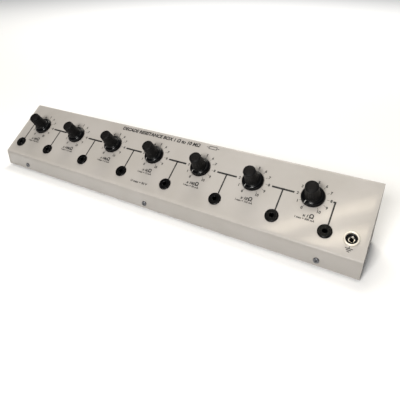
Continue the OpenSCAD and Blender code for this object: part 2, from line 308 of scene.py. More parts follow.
# %% [markdown]
# ## Moulded plastics
# The knobs are moulded in black nylon or ABS: the grip is spark-eroded to a satin grain of
# about a third of a millimetre, and the skirt is polished. The sockets are a glossy black
# polyamide. Black plastic picks up a little dust, which shows as paler specks and lifts
# the grey of flat tops. Its reflection is set low, since such blacks stay dark in daylight.

# %% Moulded plastics and rubber
DUST_MM = 0.9
HANDLING_MM = 3.5


def moulded(name, base, dusty, roughness, grain_mm, depth_mm, dust=0.3):
    """A moulded plastic or rubber: fine grain, uneven gloss, and a little dust."""
    return two_tone(
        name, (base, dusty), (DUST_MM, 6, (0.6, 0.75), (0, dust)),
        (HANDLING_MM, 4, (0.3, 0.7), (roughness - 0.06, roughness + 0.06)),
        (grain_mm, 2), 0.5, depth_mm, IOR=1.4, Specular_IOR_Level=0.2)


grip_plastic = moulded("moulded nylon, satin black", "#080808", "#1c1a19", 0.5, 0.35, 0.02)
skirt_plastic = moulded("moulded nylon, polished black", "#050506", "#17181a", 0.2, 1.2, 0.004, 0.15)
cap_plastic = moulded("moulded nylon, matt black", "#0e0c0b", "#2a2624", 0.5, 0.3, 0.02)
socket_plastic = moulded("moulded polyamide, glossy black", "#040404", "#161617", 0.26, 0.8, 0.006, 0.2)
foot_rubber = moulded("moulded nitrile rubber", "#1a1a1a", "#4a4846", 0.75, 0.5, 0.03)
switch_plastic = moulded("moulded phenolic, dark grey", "#26282b", "#4a4c50", 0.5, 0.4, 0.02)
rotor_nylon = moulded("moulded nylon, natural", "#d9d2bf", "#efe9da", 0.45, 0.6, 0.01)
print("made 6 plastics and a rubber")

# %% [markdown]
# ## Metals
# Turned brass and nickel plate keep the tool's fine rings; a stretched noise stands for
# them, coarser than the real tenth of a millimetre so that it shows. The base is zinc
# plated, whose crystals give a dull, mottled grey. The earth collar is satin nickel but only
# partly metallic: its pale diffuse colour is a painted reflection, as bright as the light
# mirrored in the nickel. The screws are dull zinc.

# %% Metals
PATCH_MM = 2.5
RING_STRETCH = (0.25, 1, 1)


def plated_metal(name, base, shade, roughness, ring_mm, depth_mm, metallic=1.0):
    """A turned and plated metal: tool rings round the piece, and uneven brightness."""
    return two_tone(
        name, (base, shade), (PATCH_MM, 5, (0.35, 0.65)),
        (ring_mm, 2, (0.3, 0.7), (roughness - 0.07, roughness + 0.09), RING_STRETCH),
        (ring_mm, 2, (0, 1), (0, 1), RING_STRETCH), 0.4, depth_mm, Metallic=metallic)


nickel = plated_metal("nickel-plated brass", "#dcd8cf", "#c4bfb4", 0.24, 0.5, 0.006)
brass = plated_metal("turned brass", "#d3ac5c", "#b98f45", 0.28, 0.4, 0.008)
zinc = plated_metal("zinc-plated steel sheet", "#b4b6b6", "#9b9da0", 0.42, 3.0, 0.01)
# painted reflection: the collar's pale, partly diffuse colour stands in for the light mirrored in its
# nickel
collar_nickel_painted_bright = plated_metal("satin nickel-plated collar, painted reflection", "#e9e3d6", "#dcd5c6", 0.45, 0.6, 0.004, 0.4)
dull_zinc = plated_metal("dull zinc on steel", "#77787b", "#5b5c60", 0.36, 0.4, 0.008)
print("made 5 metals")

# %% [markdown]
# ## Inks, boards and lacquers
# The legends are screen-printed in black epoxy ink, slightly uneven and a little matter
# than the paint. The white ink of the index lines has greyed with handling. The circuit
# parts sit inside the case, where only the maker sees them, and still get their own
# finishes.

# %% Inks and circuit finishes


def thin_coat(name, base, second, roughness, grain_mm, depth_mm):
    """A thin finish with a slight two-tone grain."""
    return two_tone(name, (base, second), (grain_mm, 4, (0.35, 0.65)), roughness,
                    (grain_mm, 4), 0.3, depth_mm, IOR=1.5)


black_ink = thin_coat("screen-printed epoxy ink", "#0d0c0c", "#171615", 0.4, 0.7, 0.003)
white_ink = thin_coat("pad-printed white ink", "#b4b3ae", "#9c9b96", 0.5, 0.5, 0.003)
paper_laminate = thin_coat("phenolic paper laminate", "#a97c3f", "#8f6730", 0.45, 1.0, 0.01)
lacquered_board = thin_coat("lacquered glass epoxy board", "#2f6b3d", "#265a33", 0.35, 2.0, 0.01)
wire_sleeve = thin_coat("extruded PVC insulation", "#b0352a", "#9c2d24", 0.4, 1.5, 0.01)
resistor_lacquer = thin_coat("blue resistor lacquer", "#6fb0c4", "#5d9db3", 0.3, 1.0, 0.01)
print("made 6 finishes")

# %% [markdown]
# ## Meshes from a profile
# Knobs, caps, sockets and collars are all turned shapes. A lathe in code takes a profile of
# radius and height and sweeps it round; an optional shape function lets the radius change
# with the angle, which makes flutes. Points on the axis become one vertex, so the poles
# are closed, and the normals are recalculated outwards before the piece is placed.

# %% The lathe


def make_piece(name, mesh, finishes, body):
    """Makes a mesh a piece of the object, which rides on a body."""
    mesh.name = name
    piece = new_object(name, mesh)
    if not mesh.materials:
        for finish in finishes:
            mesh.materials.append(finish)
    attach(piece, body)
    return piece


def stand_in(node, mesh, finishes, body):
    """Makes a mesh the piece that is shown in place of a CAD node."""
    piece = make_piece(f"{node}_finished", mesh, finishes, body)
    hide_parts(node)
    return piece


def arc(centre_r, centre_z, radius, start, stop, steps):
    """Points of an arc in the radius-height plane, angles in degrees."""
    angles = [math.radians(start + (stop - start) * i / steps) for i in range(steps + 1)]
    return [(centre_r + radius * math.cos(a), centre_z + radius * math.sin(a)) for a in angles]


def lathe(bm, profile, segments, shape=None, slots=None):
    """Adds a turned shape to bm. slots(z) picks each face's material."""
    rings = []
    for r, z in profile:
        if r == 0:
            rings.append([bm.verts.new((0, 0, z))])
            continue
        ring = []
        for i in range(segments):
            a = math.tau * i / segments
            radius = shape(r, z, a) if shape else r
            ring.append(bm.verts.new((radius * math.cos(a), radius * math.sin(a), z)))
        rings.append(ring)
    for low, high in zip(rings, rings[1:]):
        for i in range(segments):
            corners = [low[i % len(low)], low[(i + 1) % len(low)],
                       high[(i + 1) % len(high)], high[i % len(high)]]
            unique = list(dict.fromkeys(corners))
            if len(unique) > 2:
                face = bm.faces.new(unique)
                face.smooth = True
                if slots:
                    face.material_index = slots(sum(v.co.z for v in unique) / len(unique))


MERGE_MM = 1e-5


def mesh_from(bm, place, sharp_degrees=40):
    """Closes a bmesh: outward normals, sharp edges marked, placed in the frame."""
    bmesh.ops.remove_doubles(bm, verts=bm.verts, dist=MERGE_MM)
    bmesh.ops.recalc_face_normals(bm, faces=bm.faces)
    limit = math.radians(sharp_degrees)
    for edge in bm.edges:
        edge.smooth = not (len(edge.link_faces) == 2 and edge.calc_face_angle() > limit)
    mesh = bpy.data.meshes.new("turned")
    bm.to_mesh(mesh)
    bm.free()
    mesh.transform(place)
    return mesh


print("lathe ready")

# %% [markdown]
# ## The case: one folded sheet
# The real cover is a blank, punched flat, then folded twice on a press brake, into front
# lip, sloping panel and back wall. Geometry Nodes can follow the same steps. A poly line of
# the outside face gets a fillet for each fold, is swept along the box, thickened inwards
# and pierced with cutters at the switch and socket places. A bevel then takes the sharpness
# off the sheared rims, as tumbling and paint do.

# %% Geometry Nodes helpers


def new_tree(name, inputs):
    """A geometry node tree with named inputs; returns it, its input node and output node."""
    tree = bpy.data.node_groups.new(name, "GeometryNodeTree")
    tree.interface.new_socket("Geometry", in_out="INPUT", socket_type="NodeSocketGeometry")
    for label, (kind, value) in inputs.items():
        socket = tree.interface.new_socket(label, in_out="INPUT", socket_type=kind)
        if value is not None:
            socket.default_value = value
    tree.interface.new_socket("Geometry", in_out="OUTPUT", socket_type="NodeSocketGeometry")
    return tree, tree.nodes.new("NodeGroupInput"), tree.nodes.new("NodeGroupOutput")


def evaluated(item):
    """The plain mesh of an object after its modifiers; the object is then removed."""
    depsgraph = bpy.context.evaluated_depsgraph_get()
    mesh = bpy.data.meshes.new_from_object(item.evaluated_get(depsgraph))
    bpy.data.objects.remove(item)
    return mesh


def run_tree(tree, base_mesh, values):
    """Runs a tree on a mesh with its inputs set by identifier; returns the plain mesh."""
    carrier = new_object("source", base_mesh)
    modifier = carrier.modifiers.new("nodes", "NODES")
    modifier.node_group = tree
    for item in tree.interface.items_tree:
        if item.item_type == "SOCKET" and item.in_out == "INPUT" and item.name in values:
            modifier[item.identifier] = values[item.name]
    return evaluated(carrier)


def points_mesh(points, joined=False):
    """A mesh of loose points, for instancing, or of a line through them, for sweeping."""
    mesh = bpy.data.meshes.new("points")
    mesh.from_pydata(points, [(i, i + 1) for i in range(len(points) - 1)] if joined else [], [])
    return mesh


print("node helpers ready")

# %% The folded cover
SHEET_MM = 1.5
FOLD_RADIUS_MM = 2.4
FOLD_STEPS = 10
RIM_ROUND_MM = 0.25
WELD_M = 1e-6


def fold_tree():
    """Sweeps a folded outline along X and pierces it with round cutters."""
    tree, given, result = new_tree("folded sheet", {
        "Fold radius": ("NodeSocketFloat", FOLD_RADIUS_MM * MM),
        "Half length": ("NodeSocketFloat", case_length / 2 * MM),
        "Thickness": ("NodeSocketFloat", SHEET_MM * MM),
        "Cutters": ("NodeSocketObject", None),
        "Paint": ("NodeSocketMaterial", None),
    })
    outline = add(tree, "GeometryNodeMeshToCurve", Mesh=given.outputs["Geometry"])
    folds = add(tree, "GeometryNodeFilletCurve", {"mode": "POLY"}, Curve=outline.outputs[0],
                Radius=given.outputs["Fold radius"], Count=FOLD_STEPS)
    negative = add(tree, "ShaderNodeMath", {"operation": "MULTIPLY"},
                   _0=given.outputs["Half length"], _1=-1.0)
    start = add(tree, "ShaderNodeCombineXYZ", X=negative.outputs[0])
    outline_mesh = add(tree, "GeometryNodeCurveToMesh", Curve=folds.outputs[0])
    width = add(tree, "ShaderNodeMath", {"operation": "MULTIPLY"},
                _0=given.outputs["Half length"], _1=2.0)
    across = add(tree, "ShaderNodeCombineXYZ", X=width.outputs[0])
    shifted = add(tree, "GeometryNodeSetPosition", Geometry=outline_mesh.outputs[0],
                  Offset=start.outputs[0])
    swept = add(tree, "GeometryNodeExtrudeMesh", {"mode": "EDGES"}, Mesh=shifted.outputs[0],
                Offset=across.outputs[0], Offset_Scale=1.0)
    thick = add(tree, "GeometryNodeExtrudeMesh", {"mode": "FACES"}, Mesh=swept.outputs["Mesh"],
                Offset_Scale=given.outputs["Thickness"], Individual=False)
    flipped = add(tree, "GeometryNodeFlipFaces", Mesh=swept.outputs["Mesh"])
    joined = add(tree, "GeometryNodeJoinGeometry")
    tree.links.new(thick.outputs["Mesh"], joined.inputs[0])
    tree.links.new(flipped.outputs[0], joined.inputs[0])
    merged = add(tree, "GeometryNodeMergeByDistance", Geometry=joined.outputs[0],
                 Distance=WELD_M)
    holes = add(tree, "GeometryNodeObjectInfo", Object=given.outputs["Cutters"])
    pierced = add(tree, "GeometryNodeMeshBoolean", {"operation": "DIFFERENCE", "solver": "EXACT"})
    tree.links.new(merged.outputs[0], pierced.inputs["Mesh 1"])
    tree.links.new(holes.outputs["Geometry"], pierced.inputs["Mesh 2"])
    realized = add(tree, "GeometryNodeRealizeInstances", Geometry=pierced.outputs[0])
    painted = add(tree, "GeometryNodeSetMaterial", Geometry=realized.outputs[0],
                  Material=given.outputs["Paint"])
    tree.links.new(painted.outputs[0], result.inputs[0])
    return tree


SWITCH_HOLE_MM = 4.6
SOCKET_HOLE_MM = 5.0
HOLE_SEGMENTS = 48
CUTTER_DEPTH_MM = 9.0


def hole_cutters():
    """All the punched holes of the cover, as one object of cylinders."""
    bm = bmesh.new()
    spots = [(seat.x, knob_row, SWITCH_HOLE_MM) for seat in knob_seats.values()]
    spots += [(x, socket_row, SOCKET_HOLE_MM) for x in [*socket_xs, earth_x]]
    for x, y, radius in spots:
        made = bmesh.ops.create_cone(bm, cap_ends=True, segments=HOLE_SEGMENTS, radius1=radius,
                                     radius2=radius, depth=CUTTER_DEPTH_MM)
        bmesh.ops.transform(bm, matrix=at_panel(x, y), verts=made["verts"])
    cutters = new_object("cutters", bpy.data.meshes.new("cutters"))
    bm.to_mesh(cutters.data)
    bm.free()
    return cutters


# from the back wall to the front lip, so that the sheet thickens inwards
outer_path = [
    (0, cover_high.y, cover_low.z),
    (0, cover_high.y, front_edge.z + panel_width * MM * math.sin(tilt)),
    (0, front_edge.y, front_edge.z),
    (0, cover_low.y, cover_low.z),
]
cutters = hole_cutters()
cover_mesh = run_tree(fold_tree(), points_mesh(outer_path, joined=True), {
    "Cutters": cutters, "Paint": grey_enamel,
})
bpy.data.objects.remove(cutters)
print("cover:", len(cover_mesh.polygons), "faces")

# %% [markdown]
# ## Softening sheared rims
# A swept sheet has knife-sharp rims, which never catch the light as real ones do. Two
# modifiers finish it: a bevel on the edges past a steep angle, and weighted normals, which
# keep the large flats truly flat beside the small rounds. The result is baked into a plain
# mesh, so nothing is left to evaluate later.

# %% Rim finishing
STEEP = math.radians(50)
FLAT = math.radians(0.5)
MERGE_M = 1e-7


def softened(mesh):
    """A copy of the mesh with its steep edges rounded and its flats kept flat."""
    bm = bmesh.new()
    bm.from_mesh(mesh)
    bmesh.ops.remove_doubles(bm, verts=bm.verts, dist=MERGE_M)
    bmesh.ops.dissolve_limit(bm, angle_limit=FLAT, verts=bm.verts, edges=bm.edges)
    for face in bm.faces:
        face.smooth = True
    for edge in bm.edges:
        edge.smooth = not (len(edge.link_faces) == 2 and edge.calc_face_angle() > STEEP)
    bm.to_mesh(mesh)
    bm.free()
    carrier = new_object("source", mesh)
    bevel = carrier.modifiers.new("rims", "BEVEL")
    bevel.width = RIM_ROUND_MM * MM
    bevel.segments = 2
    bevel.limit_method = "ANGLE"
    bevel.angle_limit = STEEP
    flats = carrier.modifiers.new("flats", "WEIGHTED_NORMAL")
    flats.weight = 80
    return evaluated(carrier)


cover = stand_in("cover", softened(cover_mesh), [grey_enamel], case)
for node, finish, slot in (("left_end_plate", grey_enamel, "painted_steel"),
                           ("right_end_plate", grey_enamel, "painted_steel"),
                           ("base_plate", zinc, "zinc_plated_steel")):
    own_shape = frame["nodes"][node].data.copy()
    own_shape.materials.clear()
    stand_in(node, softened(own_shape), [finish], case)
print("case pieces:", len(cover.data.polygons), "faces in the cover")

# %% [markdown]
# ## The knobs
# A collet knob: a hollow body clamps on the shaft, a polished skirt covers the nut and
# carries a white index line, and a tapered grip is fluted so that fingers don't slip. The
# body is one turned section, hollow from below, whose radius dips at each flute only
# between the flare and the top edge. The skirt and the grip share the mesh and have
# their own finishes, because one moulding has both.

# %% Knob section


def reach(node, point, direction):
    """How far a CAD node reaches from a point along a direction, in millimetres."""
    verts = frame["nodes"][node].data.vertices
    return max((v.co - point).dot(direction) for v in verts) / MM


KNOB_H = reach("knob_1", first_seat, out_of_panel)
SKIRT_R = reach("knob_1", first_seat, along)
CAP_R = reach("knob_cap_1", first_seat, along)
TOP_R = CAP_R + 1.1
KNOB_GAP = 0.4
SKIRT_EDGE = 1.3
DOME_R, DOME_H = 7.6, 4.8
GRIP_R, GRIP_FOOT = 6.6, 7.5
TOP_ROUND = 0.95
FLUTES = 20
FLUTE_DEPTH = 0.2
FLUTE_SEGMENTS = 8
DOME_SWEEP = 75
CURVE_STEPS = 10
RECESS_R = SKIRT_R - 1.8
RECESS_H = 3.5
SEAT_R = 5.1
SEAT_H = 0.33 * KNOB_H
BORE_R = 4.2
CAP_T = 1.6


def knob_outside():
    """The outside of the knob, from under the skirt up to the rim round the cap."""
    section = [(SKIRT_R - 0.3, KNOB_GAP), (SKIRT_R - 0.08, KNOB_GAP + 0.1), (SKIRT_R, KNOB_GAP + 0.4)]
    for i in range(CURVE_STEPS + 1):
        a = math.radians(DOME_SWEEP * i / CURVE_STEPS)
        section.append((DOME_R + (SKIRT_R - DOME_R) * math.cos(a),
                        SKIRT_EDGE + (DOME_H - SKIRT_EDGE) * math.sin(a)))
    flare_r, flare_z = section[-1]
    for i in range(1, CURVE_STEPS + 1):
        a = math.radians(90 * i / CURVE_STEPS)
        section.append((flare_r - (flare_r - GRIP_R) * math.sin(a),
                        GRIP_FOOT - (GRIP_FOOT - flare_z) * math.cos(a)))
    grip_top = KNOB_H - TOP_ROUND
    for t in (0.08, 0.16, 0.33, 0.5, 0.67, 0.84, 0.93):
        section.append((GRIP_R + (TOP_R - GRIP_R) * t, GRIP_FOOT + (grip_top - GRIP_FOOT) * t))
    return section + arc(TOP_R - TOP_ROUND, grip_top, TOP_ROUND, 0, 90, 7)


def knob_inside():
    """The hollow of the knob, from the cap's seat down to the skirt's underside."""
    return [
        (CAP_R + 0.02, KNOB_H - 0.02), (CAP_R + 0.02, KNOB_H - CAP_T), (BORE_R, KNOB_H - CAP_T),
        (BORE_R, SEAT_H), (SEAT_R, SEAT_H), (SEAT_R, RECESS_H), (RECESS_R, RECESS_H),
        (RECESS_R, KNOB_GAP),
    ]


def fluted(r, z, angle):
    """The radius with a flute's dip, only on the outside of the grip."""
    low, high = GRIP_FOOT - 1.2, KNOB_H - 1.0
    if r < SEAT_R + 0.1 or not low < z < high:
        return r
    fade = min(1, (z - low) / 2.0, (high - z) / 0.8)
    dip = (0.5 + 0.5 * math.cos(FLUTES * angle)) ** 2
    return r - FLUTE_DEPTH * dip * fade


def knob_mesh(place):
    """One whole knob: the first material is the grip's, the second the skirt's."""
    bm = bmesh.new()
    section = knob_outside() + knob_inside()
    lathe(bm, section + section[:1], FLUTES * FLUTE_SEGMENTS, fluted,
          lambda z: 0 if z > DOME_H + 0.6 else 1)
    return mesh_from(bm, place, 35)


print(f"knob {KNOB_H:.1f} mm high, skirt {2 * SKIRT_R:.1f} mm, {FLUTES} flutes")

# %% [markdown]
# ## Index lines and caps
# The index is a white line filled into the skirt. It is a ribbon that follows the skirt's
# own section, a few hundredths of a millimetre proud, on the ray that points to the dial's
# first number. The cap is a push-in disc, very slightly dished, with a fine groove inside
# its rim where it meets the knob.

# %% Ribbon and cap
DIAL_POSITIONS = 11
DIAL_STEP = math.radians(30)
FIRST_ANGLE = math.radians(240)
INDEX_WIDTH = 0.6
INDEX_LIFT, INDEX_SINK = 0.03, 0.1
CAP_SEGMENTS = 64


def ribbon(bm, path, width, lift, sink, angle):
    """A thin strip along a radius-height path, at an angle round the axis."""
    side = Vector((-math.sin(angle), math.cos(angle), 0)) * width / 2
    ray = Vector((math.cos(angle), math.sin(angle), 0))
    rows = []
    for i, (r, z) in enumerate(path):
        before, after = path[max(i - 1, 0)], path[min(i + 1, len(path) - 1)]
        run = Vector((after[0] - before[0], after[1] - before[1])).normalized()
        normal = ray * run.y - Vector((0, 0, 1)) * run.x
        base = ray * r + Vector((0, 0, z))
        top, low = base + normal * lift, base - normal * sink
        rows.append([bm.verts.new(p) for p in (top - side, top + side, low + side, low - side)])
    for a, b in zip(rows, rows[1:]):
        for i in range(4):
            bm.faces.new((a[i], a[(i + 1) % 4], b[(i + 1) % 4], b[i]))
    bm.faces.new(rows[0][::-1])
    bm.faces.new(rows[-1])


def cap_section():
    """The cap: a flat underside, a chamfered rim with a groove, and a shallow dish."""
    top = KNOB_H
    rim = CAP_R - 0.06
    return [
        (0, top - CAP_T), (rim, top - CAP_T), (rim, top - 0.35), (rim - 0.1, top - 0.2),
        (rim - 0.35, top - 0.08), (rim - 0.7, top), (0.72 * rim, top - 0.03),
        (0.66 * rim, top - 0.16), (0.6 * rim, top - 0.16), (0.55 * rim, top - 0.06),
        (0.4 * rim, top - 0.14), (0.2 * rim, top - 0.2), (0, top - 0.22),
    ]


index_path = [p for p in knob_outside() if 0.5 * DOME_H < p[1] < DOME_H + 0.1]
for number, body in enumerate(bodies, start=1):
    place = at_panel(knob_seats[body].x, knob_row)
    knob = stand_in(f"knob_{number}", knob_mesh(place), [grip_plastic, skirt_plastic], body)
    bm = bmesh.new()
    lathe(bm, cap_section(), CAP_SEGMENTS)
    stand_in(f"knob_cap_{number}", mesh_from(bm, place), [cap_plastic], body)
    bm = bmesh.new()
    ribbon(bm, index_path, INDEX_WIDTH, INDEX_LIFT, INDEX_SINK, FIRST_ANGLE)
    make_piece(f"knob_{number}_index_line", mesh_from(bm, place, 30), [white_ink], body)
print("knobs:", len(bodies), "with", len(knob.data.polygons), "faces each")

# %% [markdown]
# ## Sockets for 4 mm plugs
# A socket is a moulded bush with a domed flange, pushed through the panel and held by a nut
# behind it; a metal sleeve deep inside makes the contact, so from outside there is only a
# black mouth. The earth socket has its sleeve near the top and wears a bright collar.

# %% Socket sections
SOCKET_SEAT = PANEL @ Vector((socket_xs[0], socket_row, 0))
FLANGE_R = reach("socket_1", SOCKET_SEAT, along)
FLANGE_H = reach("socket_1", SOCKET_SEAT, out_of_panel)
FLANGE_ROUND, INSERT_ROUND, COLLAR_ROUND = 1.1, 0.3, 0.8
EARTH_SEAT = PANEL @ Vector((earth_x, socket_row, 0))
COLLAR_R = reach("earth_collar", EARTH_SEAT, along)
COLLAR_H = reach("earth_collar", EARTH_SEAT, out_of_panel)
INSERT_R = reach("earth_insert", EARTH_SEAT, along)
INSERT_H = reach("earth_insert", EARTH_SEAT, out_of_panel)
PLUG_R = next(m["dims"]["r_mm"] for m in record["mounts"] if m["name"] == "plug_earth")
BARREL_R = 4.9
BARREL_END = 14.0
SLEEVE_R = 2.9
SLEEVE_TOP = 8.0
EARTH_FLOOR = 13.0
THREAD_TOP, THREAD_PITCH, THREAD_DEPTH = 2.2, 0.75, 0.25
MOUTH_ROUND = 0.45
SOCKET_SEGMENTS, COLLAR_SEGMENTS = 64, 96


def bush_section(flange, height, rim_round, bore, seat):
    """A hollow bush: threaded barrel, domed flange, a ring groove and a chamfered mouth."""
    section = [(SLEEVE_R, -BARREL_END), (BARREL_R - 0.3, -BARREL_END)]
    thread = [(BARREL_R, -BARREL_END + 0.3)]
    z = -BARREL_END + 0.8
    while z < -THREAD_TOP:
        thread += [(BARREL_R, z), (BARREL_R - THREAD_DEPTH, z + THREAD_DEPTH),
                   (BARREL_R, z + 2 * THREAD_DEPTH)]
        z += THREAD_PITCH
    section += thread + [(min(BARREL_R, flange), 0.0), (flange - 0.05, 0.0)]
    section += [(flange, 0.12)] + arc(flange - rim_round, height - rim_round, rim_round, 0, 85, 7)
    groove = bore + 0.42 * (flange - bore)
    section += [(groove + 0.35, height - 0.05), (groove + 0.15, height - 0.25),
                (groove - 0.15, height - 0.25), (groove - 0.35, height - 0.05)]
    section += arc(bore + MOUTH_ROUND, height - 0.5, MOUTH_ROUND, 90, 180, 5)
    section.append((bore, seat))
    if bore < SLEEVE_R:
        section.append((SLEEVE_R, seat))
    return section


def turned_on_panel(node, x, section, segments, finish):
    """A turned ring on the panel's socket row, in place of a CAD node."""
    bm = bmesh.new()
    lathe(bm, section + section[:1], segments)
    stand_in(node, mesh_from(bm, at_panel(x, socket_row)), [finish], case)


bush = bush_section(FLANGE_R, FLANGE_H, FLANGE_ROUND, PLUG_R, -SLEEVE_TOP)
for number, x in enumerate(socket_xs, start=1):
    turned_on_panel(f"socket_{number}", x, bush, SOCKET_SEGMENTS, socket_plastic)
insert = bush_section(INSERT_R, INSERT_H, INSERT_ROUND, SLEEVE_R, -EARTH_FLOOR)
turned_on_panel("earth_insert", earth_x, insert, SOCKET_SEGMENTS, socket_plastic)

collar = [(INSERT_R + 0.02, 0.0), (COLLAR_R, 0.0), (COLLAR_R, 0.3)]
collar += arc(COLLAR_R - COLLAR_ROUND, COLLAR_H - COLLAR_ROUND, COLLAR_ROUND, 0, 90, 8)
collar += [(INSERT_R + 0.5, COLLAR_H), (INSERT_R + 0.15, COLLAR_H - 0.15),
           (INSERT_R + 0.02, COLLAR_H - 0.4)]
turned_on_panel("earth_collar", earth_x, collar, COLLAR_SEGMENTS, collar_nickel_painted_bright)
print("sockets:", len(socket_xs), "and an earth socket")

# %% [markdown]
# ## Screws and feet, by instancing
# Six screws and four feet are each one shape in several places, which is what Geometry
# Nodes instancing is for. A mesh of points carries the way each screw faces as an
# attribute; the tree turns the instances to it, spins each one by a fixed random angle,
# as hand-driven screws end up, then realizes them and sets the finish.

# %% The instancing tree


def scatter_tree():
    """Instances an object on points, aligned to the 'facing' attribute."""
    tree, given, result = new_tree("scatter", {
        "Shape": ("NodeSocketObject", None),
        "Finish": ("NodeSocketMaterial", None),
        "Seed": ("NodeSocketInt", 3),
    })
    facing = add(tree, "GeometryNodeInputNamedAttribute", {"data_type": "FLOAT_VECTOR"},
                 Name="facing")
    turn = add(tree, "FunctionNodeAlignRotationToVector", {"axis": "Z"},
               Vector=facing.outputs["Attribute"])
    shape = add(tree, "GeometryNodeObjectInfo", Object=given.outputs["Shape"])
    dots = add(tree, "GeometryNodeMeshToPoints", Mesh=given.outputs["Geometry"])
    placed = add(tree, "GeometryNodeInstanceOnPoints", Points=dots.outputs[0],
                 Instance=shape.outputs["Geometry"], Rotation=turn.outputs[0])
    spin = add(tree, "FunctionNodeRandomValue", {"data_type": "FLOAT"}, _2=0, _3=math.pi,
               Seed=given.outputs["Seed"])
    about = add(tree, "ShaderNodeCombineXYZ", Z=spin.outputs[1])
    spun = add(tree, "GeometryNodeRotateInstances", Instances=placed.outputs[0],
               Rotation=about.outputs[0], Local_Space=True)
    real = add(tree, "GeometryNodeRealizeInstances", Geometry=spun.outputs[0])
    done = add(tree, "GeometryNodeSetMaterial", Geometry=real.outputs[0],
               Material=given.outputs["Finish"])
    tree.links.new(done.outputs[0], result.inputs[0])
    return tree


def scatter(node, spots, facings, shape, finish):
    """Stands for a CAD node with one shape at several spots, each turned to its facing."""
    dots = points_mesh(spots)
    attribute = dots.attributes.new("facing", "FLOAT_VECTOR", "POINT")
    for item, facing in zip(attribute.data, facings):
        item.vector = facing
    mesh = run_tree(scatter_tree(), dots, {"Shape": shape, "Finish": finish})
    bpy.data.objects.remove(shape)
    return stand_in(node, mesh, [finish], case)


print("instancing tree ready")

# %% Screws
SCREW_HEAD_R = 2.7
SCREW_HEAD_H = 1.5
SCREW_HEAD_ROUND = 0.9
SCREW_R = 1.5
SCREW_LEN = 7.0
SCREW_SEGMENTS = 40
CROSS_LEN = 3.0
CROSS_W = 0.75
CROSS_DEPTH = 0.85


def screw_shape():
    """A pan-head screw with a tapered cross recess, head up, in metres."""
    bm = bmesh.new()
    section = [(0, -SCREW_LEN), (SCREW_R - 0.4, -SCREW_LEN), (SCREW_R, -SCREW_LEN + 0.5), (SCREW_R, 0),
               (SCREW_HEAD_R, 0), (SCREW_HEAD_R, 0.5)]
    section += arc(SCREW_HEAD_R - SCREW_HEAD_ROUND, SCREW_HEAD_H - SCREW_HEAD_ROUND,
                   SCREW_HEAD_ROUND, 10, 80, 6)
    section += [(0.4 * SCREW_HEAD_R, SCREW_HEAD_H), (0, SCREW_HEAD_H)]
    lathe(bm, section, SCREW_SEGMENTS)
    blank = new_object("blank", mesh_from(bm, Matrix.Scale(MM, 4)))
    bm = bmesh.new()
    for quarter in (0, math.pi / 2):
        bar = bmesh.ops.create_cube(bm, size=1)["verts"]
        bmesh.ops.scale(bm, vec=(CROSS_LEN, CROSS_W, 2 * CROSS_DEPTH), verts=bar)
        low = [v for v in bar if v.co.z < 0]
        bmesh.ops.scale(bm, vec=(0.45, 0.7, 1), verts=low)
        bmesh.ops.rotate(bm, matrix=Matrix.Rotation(quarter, 3, "Z"), verts=bar)
    bmesh.ops.translate(bm, vec=(0, 0, SCREW_HEAD_H), verts=bm.verts)
    cross = new_object("cross", bpy.data.meshes.new("cross"))
    bm.to_mesh(cross.data)
    bm.free()
    cross.data.transform(Matrix.Scale(MM, 4))
    cut = blank.modifiers.new("recess", "BOOLEAN")
    cut.object = cross
    cut.solver = "EXACT"
    cut.use_self = True
    screw = new_object("screw", evaluated(blank))
    bpy.data.objects.remove(cross)
    return screw


screw_low, screw_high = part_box("cover_screws")
screw_z = (screw_low[2] + screw_high[2]) / 2
screw_end = screw_high[0] - SCREW_HEAD_R * MM
screw_spots = [
    (x, y, screw_z) for y in (cover_low.y, cover_high.y) for x in (-screw_end, 0, screw_end)
]
screw_facings = [(0, math.copysign(1, y), 0) for _, y, _ in screw_spots]
screws = scatter("cover_screws", screw_spots, screw_facings, screw_shape(), dull_zinc)
print("screws:", len(screw_spots), "with", len(screws.data.polygons), "faces")

# %% Feet
feet_low, feet_high = (Vector(corner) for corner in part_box("feet"))
FOOT_R = 6.0
FOOT_H = (feet_high.z - feet_low.z) / MM
FOOT_ROUND = 0.8
FOOT_SEGMENTS = 48


def foot_shape():
    """A self-adhesive rubber foot: a low drum with a soft lower rim and a dished sole."""
    bm = bmesh.new()
    section = [(0, 0.15), (FOOT_R - 2.6, 0.15), (FOOT_R - 2.0, 0.0), (FOOT_R - 1.4, 0.0)]
    section += arc(FOOT_R - 0.9, FOOT_ROUND, FOOT_ROUND, -70, 0, 5)
    section += [(FOOT_R, FOOT_H - 0.1), (FOOT_R - 0.1, FOOT_H), (0, FOOT_H)]
    lathe(bm, section, FOOT_SEGMENTS)
    return new_object("foot", mesh_from(bm, Matrix.Scale(MM, 4)))


foot_spots = [
    (x, y, 0)
    for x in (feet_low.x + FOOT_R * MM, feet_high.x - FOOT_R * MM)
    for y in (feet_low.y + FOOT_R * MM, feet_high.y - FOOT_R * MM)
]
scatter("feet", foot_spots, [(0, 0, 1)] * len(foot_spots), foot_shape(), foot_rubber)
print("feet:", len(foot_spots))

# %% [markdown]
# ## The printed circuit of the panel
# The legends are screen-printed: a heading, eleven numbers with their short ticks round
# each knob, a multiplier with its ohm sign below, and the circuit line that links each
# decade to the sockets on both sides. Each line is a very thin raised bar and each character a
# thin extruded letter, so the ink is geometry a few hundredths of a millimetre thick and
# needs no image. The wording is generic.

# %% Print helpers
INK_MM = 0.03
INK_SINK = 0.02
CAP_HEIGHT_SHARE = 0.73
print_bm = bmesh.new()


